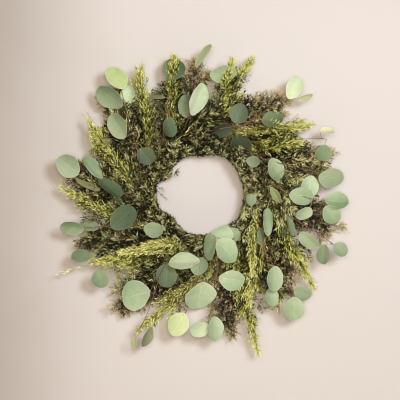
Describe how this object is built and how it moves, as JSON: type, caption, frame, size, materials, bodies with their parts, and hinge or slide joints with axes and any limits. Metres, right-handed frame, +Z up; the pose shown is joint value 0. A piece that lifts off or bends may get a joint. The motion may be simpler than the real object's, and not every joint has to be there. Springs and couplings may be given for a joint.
{
  "type": "floral wreath",
  "caption": "Round hanging wreath of silver-dollar eucalyptus, feathery green plumes and brown filler on a vine ring, with a wire loop at the back.",
  "frame": {"origin": "middle of the hanging loop's bearing face, the flat inner side at the top of its eye, behind the wreath", "axes": "+Z up as it hangs, -Y out of the wall through the wreath's face, +X to the right as seen from the front"},
  "size_m": [0.5607, 0.1034, 0.5976],
  "materials": {
    "grapevine": "rough bark",
    "florist_wire": "green-brown enamelled wire",
    "eucalyptus_leaf": "waxy matt leaf",
    "yellow_green_plume": "soft matt foliage",
    "olive_plume": "soft matt foliage",
    "brown_filler": "dry matt foliage",
    "olive_sprig": "soft matt foliage"
  },
  "bodies": {
    "root": {"binding_wire": "florist_wire", "eucalyptus_01": "eucalyptus_leaf", "eucalyptus_02": "eucalyptus_leaf", "eucalyptus_03": "eucalyptus_leaf", "eucalyptus_04": "eucalyptus_leaf", "eucalyptus_05": "eucalyptus_leaf", "eucalyptus_06": "eucalyptus_leaf", "eucalyptus_07": "eucalyptus_leaf", "eucalyptus_08": "eucalyptus_leaf", "eucalyptus_09": "eucalyptus_leaf", "eucalyptus_10": "eucalyptus_leaf", "eucalyptus_11": "eucalyptus_leaf", "eucalyptus_12": "eucalyptus_leaf", "eucalyptus_13": "eucalyptus_leaf", "eucalyptus_14": "eucalyptus_leaf", "eucalyptus_15": "eucalyptus_leaf", "eucalyptus_16": "eucalyptus_leaf", "eucalyptus_17": "eucalyptus_leaf", "eucalyptus_18": "eucalyptus_leaf", "eucalyptus_19": "eucalyptus_leaf", "filler_01": "brown_filler", "filler_02": "brown_filler", "filler_03": "brown_filler", "filler_04": "brown_filler", "filler_05": "brown_filler", "filler_06": "brown_filler", "filler_07": "brown_filler", "filler_08": "brown_filler", "filler_09": "brown_filler", "filler_10": "brown_filler", "hanging_loop": "florist_wire", "plume_01": "yellow_green_plume", "plume_02": "yellow_green_plume", "plume_03": "olive_plume", "plume_04": "olive_plume", "plume_05": "yellow_green_plume", "plume_06": "yellow_green_plume", "plume_07": "olive_plume", "plume_08": "yellow_green_plume", "plume_09": "yellow_green_plume", "plume_10": "yellow_green_plume", "plume_11": "olive_plume", "plume_12": "olive_plume", "plume_13": "yellow_green_plume", "plume_14": "olive_plume", "plume_15": "yellow_green_plume", "plume_16": "olive_plume", "plume_17": "yellow_green_plume", "plume_18": "yellow_green_plume", "plume_19": "olive_plume", "plume_20": "yellow_green_plume", "sprig_01": "olive_sprig", "sprig_02": "olive_sprig", "sprig_03": "olive_sprig", "sprig_04": "olive_sprig", "sprig_05": "olive_sprig", "sprig_06": "olive_sprig", "sprig_07": "olive_sprig", "sprig_08": "olive_sprig", "vine_ring": "grapevine"}
  },
  "joints": []
}
